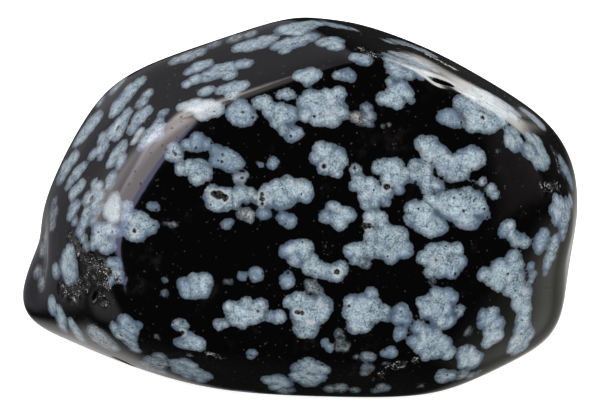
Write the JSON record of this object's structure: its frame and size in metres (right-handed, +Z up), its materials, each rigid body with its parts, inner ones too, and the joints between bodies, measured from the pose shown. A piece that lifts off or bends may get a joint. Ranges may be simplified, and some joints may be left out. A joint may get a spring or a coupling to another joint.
{
  "type": "tumbled snowflake obsidian stone",
  "caption": "Tumbled and polished black volcanic glass pebble with pale blue-grey snowflake inclusions, lying on its flat underside.",
  "frame": {"origin": "on the resting face, below the centre of the stone's overall box", "axes": "+X to the right of someone facing the broad front face and along the stone's length, +Y away from them, +Z up"},
  "size_m": [0.0409, 0.0278, 0.0244],
  "materials": {
    "obsidian": "tumbled high polish on opaque black volcanic glass with pale blue-grey snowflake inclusions, with a small unpolished chip"
  },
  "bodies": {
    "root": {"obsidian_stone": "obsidian"}
  },
  "joints": []
}
